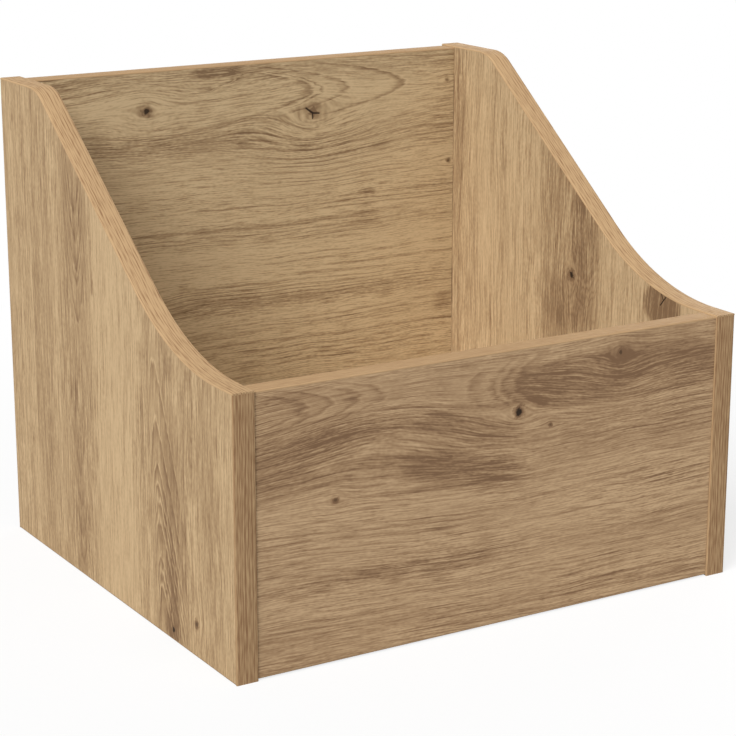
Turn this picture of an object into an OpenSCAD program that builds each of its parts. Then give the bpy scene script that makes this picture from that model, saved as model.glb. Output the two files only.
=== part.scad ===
// Record storage box: an open bin of five laminated boards.
// Two side boards slope down to the front in an S-curve. The front, back and bottom panels stand
// between them on wooden dowels, and cam fittings draw each panel's ends against the side boards.
// Millimetres. +Z is up, the front faces -Y, and the origin is the middle of the footprint.

/* [Box] */
// Width over both side boards
box_w = 375; // [330:1:450]
// Depth from the front edges of the side boards to their rear edges
box_d = 335; // [310:1:420]
// Height of the side boards at the back
box_h = 325; // [270:1:400]
// Height of the side boards at the front
front_h = 182; // [150:1:240]
// Thickness of every board
board_t = 15; // [14:0.5:19]

/* [Curve of the side boards] */
// Length of the level top at the back
top_flat = 51; // [25:1:65]
// Radius of the round shoulder below the level top
shoulder_r = 32; // [10:1:80]
// Radius of the hollow bend above the front
hollow_r = 180; // [60:1:230]
// Length of the level end in front of the hollow bend
front_flat = 20.3; // [5:0.1:50]

/* [Panels between the side boards] */
// Distance of the front panel behind the front edges of the side boards
front_setback = 1; // [0:0.1:6]
// Drop of the front panel's top below the side boards
front_drop = 0.7; // [0:0.1:5]
// Distance of the back panel inside the rear edges of the side boards
back_inset = 2.5; // [0:0.1:10]
// Drop of the back panel's top below the side boards
back_drop = 1; // [0:0.1:5]
// Height of the front, back and bottom panels above the floor
floor_gap = 1; // [0.5:0.1:10]
// Hairline gap at each butt joint between two boards
joint_gap = 0.15; // [0.05:0.05:0.3]

/* [Edge bands] */
// Thickness of an edge band
band_t = 1; // [0.4:0.1:2]
// Rounding of the outer corners of an edge band
band_r = 0.8; // [0.2:0.1:1.5]

/* [Cam fittings] */
// Diameter of a cam lock
cam_d = 14.8; // [14:0.1:16]
// Distance from the side board to the middle of a cam lock
cam_reach = 24; // [20:0.5:34]
// Board left under the bore of a cam lock
cam_skin = 2.5; // [1.5:0.1:3]
// Distance of the outer fittings from the ends of a joint
cam_inset = 45; // [35:1:60]
// Diameter of the hollow in a cam lock that turns round the bolt's head
cam_hollow_d = 11.2; // [10.6:0.1:12]
// Angle that a cam lock has turned to hold the bolt
cam_turn = 110; // [70:5:120]
// Length of the two arms of the driver's cross in a cam lock
cross_l = 6.4; // [5:0.1:8]
// Width of the arms of the driver's cross
cross_w = 1.3; // [0.8:0.1:1.6]
// Depth of the driver's cross
cross_depth = 1.8; // [1:0.1:2.5]

/* [Cam bolts] */
// Length of a bolt's thread in the side board
bolt_grip = 11; // [8:0.5:11]
// Diameter over a bolt's thread
thread_d = 6; // [5:0.1:7]
// Depth of a bolt's thread
thread_depth = 0.6; // [0.3:0.1:0.9]
// Distance between two turns of the thread
thread_pitch = 2.2; // [1.5:0.1:3]
// Diameter of a bolt's collar
collar_d = 7.6; // [6.5:0.1:8.5]
// Height of a bolt's collar
collar_h = 1.6; // [1:0.1:3]
// Diameter of a bolt's shank
shank_d = 5.4; // [4.5:0.1:6.4]
// Diameter of a bolt's neck
neck_d = 3.8; // [3:0.1:4.4]
// Length of a bolt's neck, from the shank to the middle of the head
neck_l = 7.4; // [6.4:0.1:9]
// Diameter of a bolt's round head
head_d = 6.8; // [6:0.1:7]

/* [Dowels] */
// Diameter of a dowel
dowel_d = 8; // [6:0.1:8.4]
// Length of a dowel
dowel_l = 30; // [25:1:40]
// Length of a dowel in the board whose face it enters
dowel_in_face = 10; // [8:0.5:11]
// Chamfer at both ends of a dowel
dowel_chamfer = 1; // [0.5:0.1:2]
// Distance between a dowel and the cam fitting beside it
dowel_step = 32; // [20:1:40]
// Distance from the side boards of the dowels between the bottom panel and the front and back panels
bottom_dowel_inset = 96; // [60:1:130]

/* [Clearances] */
// Clearance round every dowel, bolt and cam lock in its hole
fit_gap = 0.1; // [0.05:0.05:0.2]
// Depth of a blind hole past the end of what it holds
hole_extra = 1; // [0.5:0.1:1.5]

/* [Hidden] */
$fn = 96;

oak = [0.74, 0.62, 0.46];
oak_edge = [0.77, 0.65, 0.47];
beech = [0.84, 0.70, 0.52];
zinc = [0.66, 0.67, 0.68];
steel = [0.60, 0.61, 0.63];

// How far a cut runs past the face that it opens
cut = 1;
// Band corners never round past the band's own thickness
edge_r = min(band_r, 0.9 * band_t);
// A straight stretch of the top band runs this far into the bend beside it, and lies this much
// inside its skin, so that the two are one piece
lap = 0.05;
hair = 0.005;

// The gap between the side boards, and the panels' length in it
inner_w = box_w - 2 * board_t;
panel_l = inner_w - 2 * joint_gap;

// The S-curve, in a side view whose first axis is Y and second is Z.
// The shoulder and the hollow are circles, and the straight stretch touches both. Its length and its
// slope in degrees follow from the drop and the run between the level ends.
shoulder_c = [box_d / 2 - top_flat, box_h - shoulder_r];
hollow_c = [front_flat - box_d / 2, front_h + hollow_r];
curve_drop = box_h - front_h;
curve_run = shoulder_c[0] - hollow_c[0];
slope_l = sqrt(pow(curve_run, 2) + pow(curve_drop, 2) - 2 * (shoulder_r + hollow_r) * curve_drop);
slope = 2 * atan(curve_drop / (curve_run + slope_l));
slope_normal = [-sin(slope), cos(slope)];

// Front and back planes of the panels between the side boards
front_y = -box_d / 2 + front_setback;
front_rear_y = front_y + board_t;
back_y = box_d / 2 - back_inset;
back_front_y = back_y - board_t;
bottom_front_y = front_rear_y + joint_gap;
bottom_d = back_front_y - joint_gap - bottom_front_y;
front_top = front_h - front_drop;
back_top = box_h - back_drop;

// The middle plane of each panel, which its fittings lie in
front_mid_y = front_y + board_t / 2;
back_mid_y = back_y - board_t / 2;
bottom_mid_z = floor_gap + board_t / 2;

// A cam lock lies in its panel with the bolt's axis at half the board's thickness
cam_face = board_t / 2 - fit_gap;
cam_floor = board_t / 2 - cam_skin - fit_gap;
cam_bore_d = cam_d + 2 * fit_gap;
head_gap = 2 * fit_gap;
head_reach = cam_reach - (cam_hollow_d - head_d) / 2 + fit_gap;
cam_slot_w = neck_d + 2 * head_gap;
cam_mouth_d = head_d + 2 * head_gap;
upright_angles = [90, 0, 180];
under_angles = [0, 180, 0];
edge_bore_d = collar_d + 2 * fit_gap;
thread_turns = floor(bolt_grip / thread_pitch);

// Places of the fittings on a left joint, each as Y and Z
function ends_of(l) = [cam_inset, l - cam_inset];
function between(l) = [cam_inset + dowel_step, l - cam_inset - dowel_step];
front_bolts = [for (s = ends_of(front_top - floor_gap)) [front_mid_y, floor_gap + s]];
back_bolts = [for (s = ends_of(back_top - floor_gap)) [back_mid_y, floor_gap + s]];
bottom_bolts = [for (s = ends_of(bottom_d)) [bottom_front_y + s, bottom_mid_z]];
front_dowels = [[front_mid_y, (floor_gap + front_top) / 2]];
back_dowels = [for (s = between(back_top - floor_gap)) [back_mid_y, floor_gap + s]];
bottom_dowels = [for (s = between(bottom_d)) [bottom_front_y + s, bottom_mid_z]];
all_bolts = concat(front_bolts, back_bolts, bottom_bolts);
all_dowels = concat(front_dowels, back_dowels, bottom_dowels);

// Outline of a side board in the side view, drawn in from the outer one on every edge
module side_outline(inset) {
    rear = box_d / 2 - inset;
    nose = front_h - inset;
    round_r = shoulder_r - inset;
    bend_r = hollow_r + inset;
    difference() {
        union() {
            polygon([
                [-rear, inset],
                [rear, inset],
                [rear, box_h - inset],
                shoulder_c + [0, round_r],
                shoulder_c + round_r * slope_normal,
                hollow_c - bend_r * slope_normal,
                hollow_c - [0, bend_r],
                [-rear, nose]
            ]);
            translate(shoulder_c) circle(r = round_r);
        }
        translate(hollow_c) circle(r = bend_r);
    }
}

// Puts what is drawn for the left end at both ends
module both_ends() {
    children();
    mirror([1, 0, 0]) children();
}

// Turns +Z from the left joint plane into a panel, at each place
module at_left_joint(places) {
    for (p = places)
        translate([-inner_w / 2, p[0], p[1]])
            rotate([0, 90, 0]) children();
}

// Stands at the middle of each cam lock of a left joint, with +X towards the side board
module at_left_cams(places, angles) {
    for (p = places)
        translate([-inner_w / 2 + cam_reach, p[0], p[1]])
            rotate(angles) children();
}

// Cross-section of a band: board_t wide, with the visible side up and its corners round.
// It can be drawn in on every side.
module band_section(inset = 0) {
    intersection() {
        translate([inset, inset]) square([board_t - 2 * inset, band_t - 2 * inset]);
        union() {
            square([board_t, band_t - edge_r]);
            translate([edge_r, 0]) square([board_t - 2 * edge_r, band_t]);
            for (x = [edge_r, board_t - edge_r])
                translate([x, band_t - edge_r]) circle(r = edge_r - inset, $fn = 32);
        }
    }
}

// A straight band that runs along -Y with its visible side up
module band_strip(l, inset = 0) {
    rotate([90, 0, 0]) linear_extrude(height = l) band_section(inset);
}

// Hole for a dowel, from the joint plane both ways
module dowel_hole() {
    translate([0, 0, -dowel_in_face - hole_extra])
        cylinder(d = dowel_d + 2 * fit_gap, h = dowel_l + 2 * hole_extra);
}

// Bores in a panel for the bolts and dowels of both its ends, and for its cam locks
module end_bores(bolts, dowels, angles) {
    both_ends() {
        at_left_joint(bolts) cylinder(d = edge_bore_d, h = cam_reach);
        at_left_joint(dowels) dowel_hole();
        at_left_cams(bolts, angles)
            translate([0, 0, -board_t / 2 + cam_skin])
                cylinder(d = cam_bore_d, h = board_t - cam_skin + cut);
    }
}

// Places +Z at the front joint of the bottom panel, pointing back into it
module at_front_cross_joint() {
    for (side = [-1, 1])
        translate([side * (inner_w / 2 - bottom_dowel_inset), front_rear_y, bottom_mid_z])
            rotate([-90, 0, 0]) children();
}

// Places +Z at the rear joint of the bottom panel, pointing forward into it
module at_back_cross_joint() {
    for (side = [-1, 1])
        translate([side * (inner_w / 2 - bottom_dowel_inset), back_front_y, bottom_mid_z])
            rotate([90, 0, 0]) children();
}

// The left side board inside its bands, bored for bolts and dowels
module side_board() {
    difference() {
        translate([-box_w / 2, 0, 0])
            rotate([90, 0, 90]) linear_extrude(height = board_t) side_outline(band_t);
        at_left_joint(all_bolts)
            translate([0, 0, -bolt_grip - hole_extra])
                cylinder(d = thread_d + 2 * fit_gap, h = bolt_grip + hole_extra + cut);
        at_left_joint(all_dowels) dowel_hole();
    }
}

// Board of the front panel between its bands
module front_board() {
    difference() {
        translate([-panel_l / 2, front_y, floor_gap + band_t])
            cube([panel_l, board_t, front_top - floor_gap - 2 * band_t]);
        end_bores(front_bolts, front_dowels, upright_angles);
        at_front_cross_joint() dowel_hole();
    }
}

// Board of the back panel between its bands
module back_board() {
    difference() {
        translate([-panel_l / 2, back_front_y, floor_gap + band_t])
            cube([panel_l, board_t, back_top - floor_gap - 2 * band_t]);
        end_bores(back_bolts, back_dowels, upright_angles);
        at_back_cross_joint() dowel_hole();
    }
}

// The bottom panel has no bands, because the other boards hide its four edges
module bottom_board() {
    difference() {
        translate([-panel_l / 2, bottom_front_y, floor_gap])
            cube([panel_l, bottom_d, board_t]);
        end_bores(bottom_bolts, bottom_dowels, under_angles);
        at_front_cross_joint() dowel_hole();
        at_back_cross_joint() dowel_hole();
    }
}

// A band bent round a circle in the side view, from one angle on through a sweep.
// face_out is true where the visible side looks away from the circle's centre.
module band_bend(centre, r, from, sweep, face_out) {
    translate([0, centre[0], centre[1]])
        rotate([90, 0, 90])
            rotate([0, 0, from])
                rotate_extrude(angle = sweep, $fn = 360)
                    translate([face_out ? r - band_t : r + band_t, 0])
                        mirror([face_out ? 0 : 1, 0])
                            mirror([1, -1]) band_section();
}

// Band along the left side board's top: level, round the shoulder, down the slope and out to the front
module top_band() {
    slope_start = shoulder_c + (shoulder_r - band_t) * slope_normal;
    translate([-box_w / 2, 0, 0]) {
        translate([0, box_d / 2, box_h - band_t]) band_strip(top_flat + lap, hair);
        band_bend(shoulder_c, shoulder_r, 90, slope, true);
        translate([0, slope_start[0], slope_start[1]])
            rotate([slope, 0, 0])
                translate([0, lap, 0]) band_strip(slope_l + 2 * lap, hair);
        band_bend(hollow_c, hollow_r, 270, slope, false);
        translate([0, hollow_c[0] + lap, front_h - band_t])
            band_strip(front_flat + lap, hair);
    }
}

// Band on the left side board's front edge, under the top band
module front_band() {
    translate([-box_w / 2, -box_d / 2 + band_t, front_h - band_t])
        rotate([90, 0, 0]) band_strip(front_h - band_t);
}

// Band on the left side board's rear edge, under the top band
module rear_band() {
    translate([-box_w / 2, box_d / 2 - band_t, 0])
        rotate([-90, 0, 0]) band_strip(box_h - band_t);
}

// Band on the left side board's bottom edge, which the box stands on
module bottom_band() {
    translate([-box_w / 2, -box_d / 2 + band_t, band_t])
        rotate([180, 0, 0]) band_strip(box_d - 2 * band_t);
}

// Band on the top edge of the front or back panel
module panel_top_band(y, top) {
    translate([-panel_l / 2, y, top - band_t])
        rotate([0, 0, 90]) band_strip(panel_l);
}

// Band on the bottom edge of the front or back panel
module panel_bottom_band(y) {
    translate([panel_l / 2, y, floor_gap + band_t])
        rotate([0, 180, 0])
            rotate([0, 0, 90]) band_strip(panel_l);
}

// A beech dowel, from the joint plane both ways
module dowel() {
    r = dowel_d / 2;
    translate([0, 0, -dowel_in_face])
        rotate_extrude()
            polygon([
                [0, 0],
                [r - dowel_chamfer, 0],
                [r, dowel_chamfer],
                [r, dowel_l - dowel_chamfer],
                [r - dowel_chamfer, dowel_l],
                [0, dowel_l]
            ]);
}

// A cam bolt along +Z: threaded into the side board, with its head in the cam lock
module cam_bolt() {
    core_r = thread_d / 2 - thread_depth;
    neck_start = head_reach - neck_l;
    rotate_extrude()
        polygon(concat(
            [[0, -bolt_grip], [core_r, -bolt_grip]],
            [for (i = [0 : thread_turns - 1]) each [
                [core_r, -bolt_grip + (i + 0.25) * thread_pitch],
                [thread_d / 2, -bolt_grip + (i + 0.5) * thread_pitch],
                [core_r, -bolt_grip + (i + 0.75) * thread_pitch]
            ]],
            [
                [core_r, 0],
                [collar_d / 2, 0],
                [collar_d / 2, collar_h],
                [shank_d / 2, collar_h],
                [shank_d / 2, neck_start],
                [neck_d / 2, neck_start],
                [neck_d / 2, head_reach],
                [0, head_reach]
            ]
        ));
    translate([0, 0, head_reach]) sphere(d = head_d);
}

// A cam lock that holds a bolt coming from +X, with its driver's cross on the +Z face.
// The head comes in at the mouth, and the slot passes over the neck as the lock turns.
module cam_lock() {
    difference() {
        translate([0, 0, -cam_floor]) cylinder(d = cam_d, h = cam_floor + cam_face);
        translate([0, 0, -cam_mouth_d / 2]) cylinder(d = cam_hollow_d, h = cam_mouth_d);
        rotate([0, 0, cam_turn])
            rotate([0, 90, 0]) cylinder(d = cam_mouth_d, h = cam_d);
        rotate([0, 90, 0]) cylinder(d = cam_slot_w, h = cam_d);
        translate([0, 0, -cam_slot_w / 2])
            rotate_extrude(angle = cam_turn)
                translate([cam_hollow_d / 2 - cut, 0])
                    square([cam_d / 2 - cam_hollow_d / 2 + 2 * cut, cam_slot_w]);
        for (a = [0, 90])
            rotate([0, 0, a])
                translate([-cross_l / 2, -cross_w / 2, cam_face - cross_depth])
                    cube([cross_l, cross_w, cross_depth + cut]);
    }
}

module cam_locks(places, angles) {
    both_ends() at_left_cams(places, angles) cam_lock();
}

module left_side_board() { color(oak) side_board(); }
module right_side_board() { color(oak) mirror([1, 0, 0]) side_board(); }
module front_panel() { color(oak) front_board(); }
module back_panel() { color(oak) back_board(); }
module bottom_panel() { color(oak) bottom_board(); }

module left_top_edge_band() { color(oak_edge) top_band(); }
module left_front_edge_band() { color(oak_edge) front_band(); }
module left_rear_edge_band() { color(oak_edge) rear_band(); }
module left_bottom_edge_band() { color(oak_edge) bottom_band(); }
module right_top_edge_band() { color(oak_edge) mirror([1, 0, 0]) top_band(); }
module right_front_edge_band() { color(oak_edge) mirror([1, 0, 0]) front_band(); }
module right_rear_edge_band() { color(oak_edge) mirror([1, 0, 0]) rear_band(); }
module right_bottom_edge_band() { color(oak_edge) mirror([1, 0, 0]) bottom_band(); }
module front_panel_top_band() { color(oak_edge) panel_top_band(front_y, front_top); }
module front_panel_bottom_band() { color(oak_edge) panel_bottom_band(front_y); }
module back_panel_top_band() { color(oak_edge) panel_top_band(back_front_y, back_top); }
module back_panel_bottom_band() { color(oak_edge) panel_bottom_band(back_front_y); }

module left_cam_bolts() { color(steel) at_left_joint(all_bolts) cam_bolt(); }
module right_cam_bolts() { color(steel) mirror([1, 0, 0]) at_left_joint(all_bolts) cam_bolt(); }
module front_panel_cam_locks() { color(zinc) cam_locks(front_bolts, upright_angles); }
module back_panel_cam_locks() { color(zinc) cam_locks(back_bolts, upright_angles); }
module bottom_panel_cam_locks() { color(zinc) cam_locks(bottom_bolts, under_angles); }

module left_side_dowels() { color(beech) at_left_joint(all_dowels) dowel(); }
module right_side_dowels() { color(beech) mirror([1, 0, 0]) at_left_joint(all_dowels) dowel(); }
module bottom_to_front_dowels() { color(beech) at_front_cross_joint() dowel(); }
module bottom_to_back_dowels() { color(beech) at_back_cross_joint() dowel(); }

left_side_board();
right_side_board();
front_panel();
back_panel();
bottom_panel();
left_top_edge_band();
left_front_edge_band();
left_rear_edge_band();
left_bottom_edge_band();
right_top_edge_band();
right_front_edge_band();
right_rear_edge_band();
right_bottom_edge_band();
front_panel_top_band();
front_panel_bottom_band();
back_panel_top_band();
back_panel_bottom_band();
left_cam_bolts();
right_cam_bolts();
front_panel_cam_locks();
back_panel_cam_locks();
bottom_panel_cam_locks();
left_side_dowels();
right_side_dowels();
bottom_to_front_dowels();
bottom_to_back_dowels();
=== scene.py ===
"""Record storage box: the boards, edge bands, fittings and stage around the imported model.

Lengths are in metres. The grain of the oak print is laid out in millimetres on each face.
"""

import math
from collections import namedtuple

import bmesh
import bpy
import numpy as np
from bpy.props import FloatProperty, FloatVectorProperty, PointerProperty
from mathutils import Matrix, Vector


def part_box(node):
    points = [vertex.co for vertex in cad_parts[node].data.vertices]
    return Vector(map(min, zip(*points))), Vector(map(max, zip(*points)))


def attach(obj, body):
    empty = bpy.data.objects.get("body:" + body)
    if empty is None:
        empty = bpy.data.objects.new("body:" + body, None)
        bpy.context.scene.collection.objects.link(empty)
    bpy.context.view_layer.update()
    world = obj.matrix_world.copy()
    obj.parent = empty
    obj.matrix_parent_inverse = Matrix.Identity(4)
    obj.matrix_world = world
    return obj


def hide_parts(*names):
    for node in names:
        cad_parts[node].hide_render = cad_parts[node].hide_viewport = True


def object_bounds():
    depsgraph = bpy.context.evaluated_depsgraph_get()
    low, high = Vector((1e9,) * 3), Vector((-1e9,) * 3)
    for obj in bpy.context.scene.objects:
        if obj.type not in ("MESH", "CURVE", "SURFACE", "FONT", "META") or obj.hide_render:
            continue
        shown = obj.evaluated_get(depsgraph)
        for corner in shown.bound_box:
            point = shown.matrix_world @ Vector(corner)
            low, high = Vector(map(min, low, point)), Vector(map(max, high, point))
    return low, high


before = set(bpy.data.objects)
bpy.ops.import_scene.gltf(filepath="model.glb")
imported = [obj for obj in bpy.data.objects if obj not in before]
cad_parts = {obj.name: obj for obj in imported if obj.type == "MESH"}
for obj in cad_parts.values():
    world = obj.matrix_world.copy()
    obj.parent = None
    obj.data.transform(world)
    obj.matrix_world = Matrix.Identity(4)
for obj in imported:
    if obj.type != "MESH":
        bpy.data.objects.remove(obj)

bl_info = {
    "name": "Record storage box",
    "version": (1, 0, 0),
    "blender": (4, 5, 0),
    "location": "3D View > Sidebar > Record Box",
    "description": "Dresses an open record storage box of oak laminate boards",
    "category": "Add Mesh",
}

MM = 0.001
CAD_LOW, CAD_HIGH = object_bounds()
SIDES = ("left", "right")

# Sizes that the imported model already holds
BOARD_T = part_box("left_bottom_edge_band")[1].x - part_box("left_bottom_edge_band")[0].x
BAND_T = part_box("left_bottom_edge_band")[1].z
FRONT_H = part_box("left_front_edge_band")[1].z + BAND_T

# How fine the round shapes are cut
BEND_STEP = math.radians(1.0)
CORNER_STEPS = 5
BORE_SIDES = 64

# The floor runs this far each way. Round the box it fades to plain white between two distances.
FLOOR_REACH = 5.0
SHADOW_REACH = (0.35, 0.8)


def number_setting(name, description, default, **limits):
    """A number in a settings group, with its limits and unit"""
    return FloatProperty(name=name, description=description, default=default, **limits)


def colour_setting(name, description, default):
    """A colour in a settings group"""
    return FloatVectorProperty(
        name=name, description=description, default=default, subtype="COLOR", min=0.0, max=1.0)


def length_setting(name, description, default, least):
    """A length in a settings group, with its smallest value"""
    return number_setting(name, description, default, min=least, unit="LENGTH")


def place_setting(name, description, default):
    """A place in a settings group"""
    return FloatVectorProperty(
        name=name, description=description, default=default, subtype="TRANSLATION", unit="LENGTH")


class BoxSizes(bpy.types.PropertyGroup):
    """Sizes of the box that its outer corners don't give"""

    top_flat: length_setting(
        "Level top", "Length of the level top of a side board, at the back", 0.051, 0.025)
    front_flat: length_setting(
        "Level front end", "Length of the level end in front of the hollow bend", 0.0203, 0.005)
    shoulder_radius: length_setting(
        "Shoulder", "Radius of the round shoulder below the level top", 0.032, 0.01)
    hollow_radius: length_setting("Hollow", "Radius of the hollow bend above the front", 0.18, 0.06)
    band_radius: length_setting(
        "Band corner", "Rounding of the outer corners of an edge band", 0.0008, 0.0001)
    arris_radius: length_setting(
        "Arris", "Rounding of the panels' ends where they butt against a side board", 0.0002, 0.00005)
    fit_gap: length_setting(
        "Fit", "Clearance round a dowel, bolt or cam lock in its hole", 0.0001, 0.00005)
    hole_extra: length_setting(
        "Hole depth", "Depth of a blind hole past the end of what it holds", 0.001, 0.0005)


class Finishes(bpy.types.PropertyGroup):
    """Colours and strengths of the finishes"""

    light: colour_setting("Light oak", "Lightest tone of the printed oak", (0.622, 0.441, 0.247))
    middle: colour_setting("Middle oak", "Middle tone of the printed oak", (0.397, 0.259, 0.135))
    dark: colour_setting("Dark oak", "Dark tone of the printed oak", (0.225, 0.132, 0.067))
    hole: colour_setting("Knot", "Colour of the open middle of a knot", (0.030, 0.017, 0.009))
    band: colour_setting("Edge band", "Ground colour of the edge bands", (0.502, 0.332, 0.178))
    band_line: colour_setting(
        "Edge band lines", "Colour of the fine lines along the edge bands", (0.275, 0.155, 0.078))
    zinc: colour_setting("Zinc", "Colour of the cast cam locks", (0.52, 0.53, 0.54))
    steel: colour_setting("Steel", "Colour of the plated bolts", (0.58, 0.59, 0.61))
    beech: colour_setting("Beech", "Colour of the raw dowels", (0.58, 0.40, 0.23))
    chip: colour_setting("Chipboard", "Lightest chips of the raw chipboard", (0.50, 0.36, 0.21))
    chip_dark: colour_setting("Dark chips", "Darkest chips of the raw chipboard", (0.24, 0.15, 0.075))
    contrast: number_setting(
        "Grain contrast", "Strength of the fine streaks in the printed oak", 1.0, min=0.0, max=2.0)


class Studio(bpy.types.PropertyGroup):
    """Lamps, floor and camera"""

    key_strength: number_setting(
        "Key lamp", "Strength of the far lamp at the upper left", 3.46, min=0.0)
    key_spread: number_setting(
        "Key spread", "Angle that the far lamp fills, which softens its shadows",
        math.radians(33.0), subtype="ANGLE", unit="ROTATION")
    key_from: place_setting(
        "Key from", "Where the far lamp shines from, seen from the middle of the box", (-2.27, -1.16, 2.55))
    front_power: number_setting(
        "Front lamp", "Power of the large lamp above and in front of the box",
        22.0, min=0.0, unit="POWER")
    front_from: place_setting(
        "Front from", "Place of the front lamp from the middle of the box", (0.57, -3.2, 1.52))
    front_size: length_setting("Front size", "Side of the front lamp's square", 2.4, 0.1)
    fill_power: number_setting(
        "Fill lamp", "Power of the low lamp behind the box on the right", 20.0, min=0.0, unit="POWER")
    fill_from: place_setting(
        "Fill from", "Place of the low lamp from the middle of the box", (1.95, 1.4, 0.55))
    fill_size: length_setting("Fill size", "Side of the low lamp's square", 1.6, 0.1)
    sky: number_setting("Sky", "Strength of the even light from all round", 0.23, min=0.0, max=1.0)
    floor: colour_setting("Floor", "Colour of the floor", (0.35, 0.35, 0.35))
    floor_seen: colour_setting(
        "Floor seen", "Colour of the floor where the camera sees the box's shadow", (0.84, 0.84, 0.84))
    floor_glow: number_setting(
        "Floor glow", "Share of the floor's white that shadows don't darken", 0.75, min=0.0, max=1.0)
    camera_place: place_setting("Camera", "Place of the camera", (-0.761, -1.268, 0.538))
    camera_turn: number_setting(
        "Turn", "Angle from +Y to where the camera looks, seen from above",
        math.radians(31.15), subtype="ANGLE", unit="ROTATION")
    camera_dip: number_setting(
        "Dip", "Angle that the camera looks down",
        math.radians(15.36), subtype="ANGLE", unit="ROTATION")
    camera_lens: number_setting(
        "Lens", "Focal length in millimetres on a sensor 36 mm wide", 109.2, min=20.0)


def two_ways(operation):
    """Methods that add a Math node for a field and a value, and for a value and a field"""
    def forwards(self, other):
        return self.net.math(operation, self, other)

    def backwards(self, other):
        return self.net.math(operation, other, self)

    return forwards, backwards


class Field:
    """A number that changes over a surface. Arithmetic on it adds Math nodes."""

    def __init__(self, net, socket):
        self.net = net
        self.socket = socket

    __add__, __radd__ = two_ways("ADD")
    __sub__, __rsub__ = two_ways("SUBTRACT")
    __mul__, __rmul__ = two_ways("MULTIPLY")
    __truediv__, __rtruediv__ = two_ways("DIVIDE")


class Net:
    """Adds nodes to one shader tree. Values are fields, sockets or plain numbers."""

    def __init__(self, tree):
        self.tree = tree
        self.count = 0

    def node(self, kind, inputs=(), **settings):
        """Adds a node, sets it up and plugs its inputs"""
        made = self.tree.nodes.new(kind)
        made.location = (180 * (self.count % 16), -240 * (self.count // 16))
        self.count += 1
        for name, value in settings.items():
            setattr(made, name, value)
        for name, value in dict(inputs).items():
            self.plug(value, made.inputs[name])
        return made

    def plug(self, value, socket):
        """Links a field or a socket into a socket, or sets the socket to a plain value"""
        if isinstance(value, Field):
            value = value.socket
        if isinstance(value, bpy.types.NodeSocket):
            self.tree.links.new(value, socket)
        elif socket.type == "RGBA" and len(value) == 3:
            socket.default_value = (*value, 1.0)
        else:
            socket.default_value = value

    def math(self, operation, *values):
        """A Math node on up to three values"""
        made = self.node("ShaderNodeMath", enumerate(values), operation=operation)
        return Field(self, made.outputs[0])

    def clamp(self, value):
        """The value held between 0 and 1"""
        made = self.node("ShaderNodeClamp", {"Value": value})
        return Field(self, made.outputs[0])

    def fade(self, value, start, end, first=0.0, last=1.0):
        """Goes smoothly from first to last while the value goes from start to end"""
        made = self.node(
            "ShaderNodeMapRange",
            {"Value": value, "From Min": start, "From Max": end, "To Min": first, "To Max": last},
            interpolation_type="SMOOTHSTEP")
        return Field(self, made.outputs["Result"])

    def noise(self, along, across, seed, detail=0.0):
        """Smooth noise around zero, mostly within -1 and 1, on two coordinates"""
        place = self.node("ShaderNodeCombineXYZ", {"X": along, "Y": across, "Z": seed})
        made = self.node(
            "ShaderNodeTexNoise", {"Vector": place.outputs[0], "Scale": 1.0, "Detail": detail})
        return Field(self, made.outputs[0]) * 4.0 - 2.0

    def ramp(self, value, stops):
        """A ramp through (position, level) stops, with positions from 0 to 1"""
        made = self.node("ShaderNodeValToRGB", {"Fac": value})
        elements = made.color_ramp.elements
        for index, (position, level) in enumerate(stops):
            stop = elements[index] if index < 2 else elements.new(position)
            stop.position = position
            stop.color = (level, level, level, 1.0)
        return Field(self, made.outputs["Color"])

    def blend(self, factor, first, second):
        """One colour blended with another by a factor"""
        made = self.node("ShaderNodeMix", {0: factor, 6: first, 7: second}, data_type="RGBA")
        return Field(self, made.outputs[2])

    def use(self, group, **inputs):
        """Places a node group and gives back its outputs by name.
        An input's name is written with _ for each space."""
        named = {name.replace("_", " ").title(): value for name, value in inputs.items()}
        made = self.node("ShaderNodeGroup", named, node_tree=bpy.data.node_groups[group])
        return {output.name: Field(self, output) for output in made.outputs}


def make_group(name, inputs, outputs, build):
    """Makes a node group. inputs maps each name to its default, outputs lists names, and a name that
    ends in Colour is a colour. build takes the net and the inputs and gives the outputs."""
    tree = bpy.data.node_groups.new(name, "ShaderNodeTree")
    for way, labels in (("INPUT", inputs), ("OUTPUT", outputs)):
        for label in labels:
            kind = "NodeSocketColor" if label.endswith("Colour") else "NodeSocketFloat"
            socket = tree.interface.new_socket(name=label, in_out=way, socket_type=kind)
            if way == "INPUT":
                socket.default_value = inputs[label]
    net = Net(tree)
    source = net.node("NodeGroupInput")
    target = net.node("NodeGroupOutput")
    given = [Field(net, source.outputs[label]) for label in inputs]
    for label, value in zip(outputs, build(net, *given)):
        net.plug(value, target.inputs[label])


def build_drift(net, along, across, amount, seed):
    """The grain wanders: a long slow wave and a shorter one a third as strong"""
    slow = net.noise(along / 150, across / 60, seed)
    quick = net.noise(along / 38, across / 16, seed + 3.7)
    return (across + (slow + quick * 0.35) * amount,)


def build_swell(net, along, across, swell_along, swell_across, length, width, rise):
    """Grain lines rise over a hump: the reading across drops by a rounded bump round one place"""
    off = (along - swell_along) / length
    off_across = (across - swell_across) / width
    bump = net.math("EXPONENT", (off * off + off_across * off_across) * -1.0)
    return (across - bump * rise,)


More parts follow.
